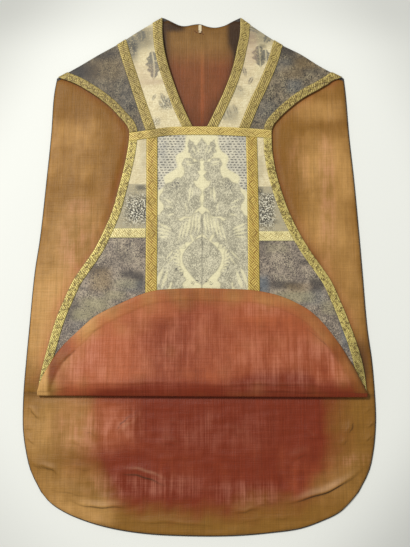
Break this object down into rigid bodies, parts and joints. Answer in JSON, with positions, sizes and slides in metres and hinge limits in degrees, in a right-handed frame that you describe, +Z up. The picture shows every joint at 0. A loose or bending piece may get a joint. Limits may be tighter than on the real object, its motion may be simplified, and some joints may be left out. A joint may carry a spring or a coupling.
{
  "type": "roman chasuble",
  "caption": "Fiddle-shaped brocade vestment laid flat lining side up, its front on top with the lower part folded over, gold galloon on seams and edges.",
  "frame": {"origin": "centre of the bounding box in plan, at the surface that the garment lies on", "axes": "+Z up from the surface, +Y towards the shoulders, X across the garment"},
  "size_m": [0.6892, 1.0644, 0.0176],
  "materials": {
    "shell_edge": "figured silk, its edge only",
    "lining": "glazed cotton, brick red fading to tan",
    "silver_brocade": "silver-grey figure on cream silk",
    "cream_brocade": "cream silk with grey leaves",
    "purple_brocade": "grey-purple figured silk",
    "galloon": "woven gold lace with a zigzag",
    "tape": "plain cotton tape"
  },
  "bodies": {
    "root": {"back_shell": "shell_edge", "back_lining": "lining", "front_lining": "lining", "front_column": "silver_brocade", "front_side_upper_left": "cream_brocade", "front_side_upper_right": "cream_brocade", "front_side_lower_left": "purple_brocade", "front_side_lower_right": "purple_brocade", "shoulder_band_left": "cream_brocade", "shoulder_band_right": "cream_brocade", "shoulder_wedge_left": "purple_brocade", "shoulder_wedge_right": "purple_brocade", "flap_shell": "purple_brocade", "galloon_neck_left": "galloon", "galloon_neck_right": "galloon", "galloon_shoulder_left": "galloon", "galloon_shoulder_right": "galloon", "galloon_chest_bar": "galloon", "galloon_column_left": "galloon", "galloon_column_right": "galloon", "galloon_armhole_left": "galloon", "galloon_armhole_right": "galloon", "galloon_side_left": "galloon", "galloon_side_right": "galloon", "galloon_short_bar_left": "galloon", "galloon_short_bar_right": "galloon", "neck_loop": "tape"}
  },
  "joints": []
}
